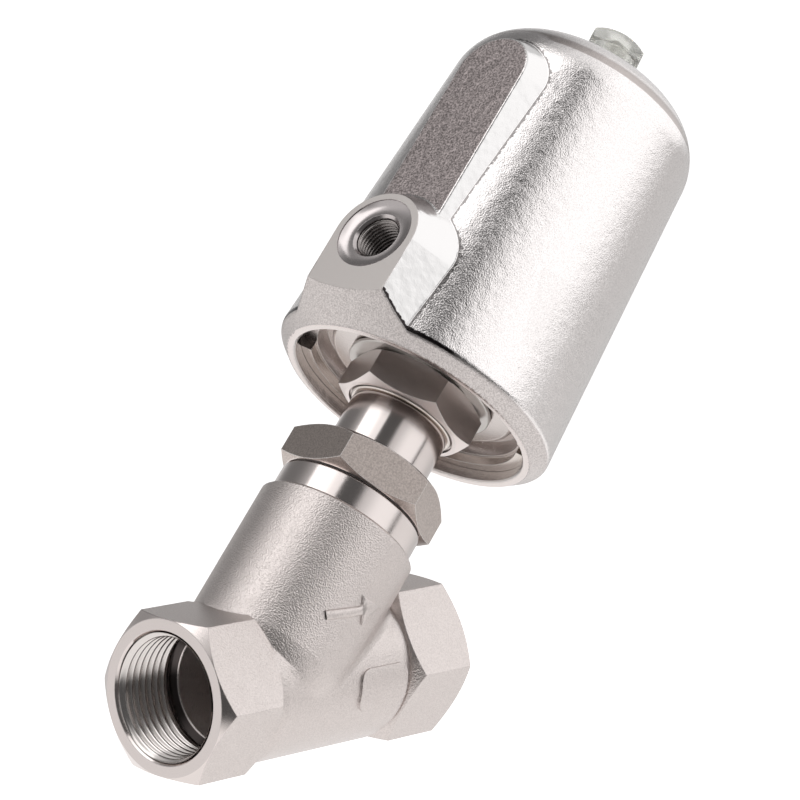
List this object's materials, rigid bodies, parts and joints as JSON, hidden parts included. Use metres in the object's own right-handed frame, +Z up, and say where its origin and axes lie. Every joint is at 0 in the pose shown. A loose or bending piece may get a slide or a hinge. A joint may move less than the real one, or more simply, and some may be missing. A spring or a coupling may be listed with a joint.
{
  "type": "pneumatic angle seat valve",
  "caption": "Stainless steel angle seat valve with hexagonal threaded ends and a leaning pneumatic piston actuator with an air port and a sight plug.",
  "frame": {"origin": "centre of the inlet port's mouth", "axes": "+X along the pipe from the inlet to the outlet, +Z up, actuator leaning over the outlet in the XZ plane"},
  "size_m": [0.1413, 0.0638, 0.1492],
  "materials": {
    "cast_steel": "bead-blasted investment casting, fine grain",
    "polished_cast": "electropolished casting with orange-peel grain",
    "turned_steel": "turned stainless steel, bright",
    "nut_steel": "drawn hexagon, dark satin",
    "ring_steel": "bright wire ring",
    "washer_steel": "thin bright disc",
    "cover_steel": "pressed plate, satin",
    "spring_steel": "drawn spring wire",
    "piston_aluminium": "machined",
    "seal_black": "black elastomer",
    "gasket_dark": "flat gasket, dark grey",
    "ptfe": "white fluoropolymer",
    "indicator_orange": "moulded orange plastic",
    "clear_plastic": "clear, slightly yellowed plastic"
  },
  "bodies": {
    "valve": {"valve_body": "cast_steel", "bonnet": "turned_steel", "body_gasket": "gasket_dark", "packing_rings": "ptfe", "packing_support": "turned_steel", "packing_spring": "spring_steel", "packing_gland": "turned_steel", "guide_bush": "turned_steel", "stem_wiper": "seal_black", "actuator_nut": "nut_steel", "neck_ring": "ring_steel", "nut_washer": "washer_steel"},
    "actuator": {"actuator_housing": "polished_cast", "retaining_ring": "ring_steel", "base_cover": "cover_steel", "cover_seal": "seal_black", "sight_plug": "clear_plastic", "sight_plug_seal": "seal_black"},
    "moving_stem": {"stem": "turned_steel", "piston": "piston_aluminium", "piston_seal": "seal_black", "piston_guide_band": "ptfe", "seat_seal": "ptfe", "valve_disc": "turned_steel", "seal_plate": "turned_steel", "disc_nut": "nut_steel", "piston_nut": "nut_steel", "indicator_pin": "indicator_orange", "outer_spring": "spring_steel", "inner_spring": "spring_steel"}
  },
  "joints": [
    {"name": "actuator_swivel", "type": "hinge", "parent": "valve", "child": "actuator", "pos_m": [0.0245, 0, 0], "axis": [0.6428, 0, 0.766], "continuous": true},
    {"name": "valve_stroke", "type": "slide", "parent": "valve", "child": "moving_stem", "axis": [0.6428, 0, 0.766], "range_m": [0, 0.009], "stiffness_N_per_m": 6000, "springref_m": -0.02, "deforming": ["outer_spring", "inner_spring"]}
  ]
}
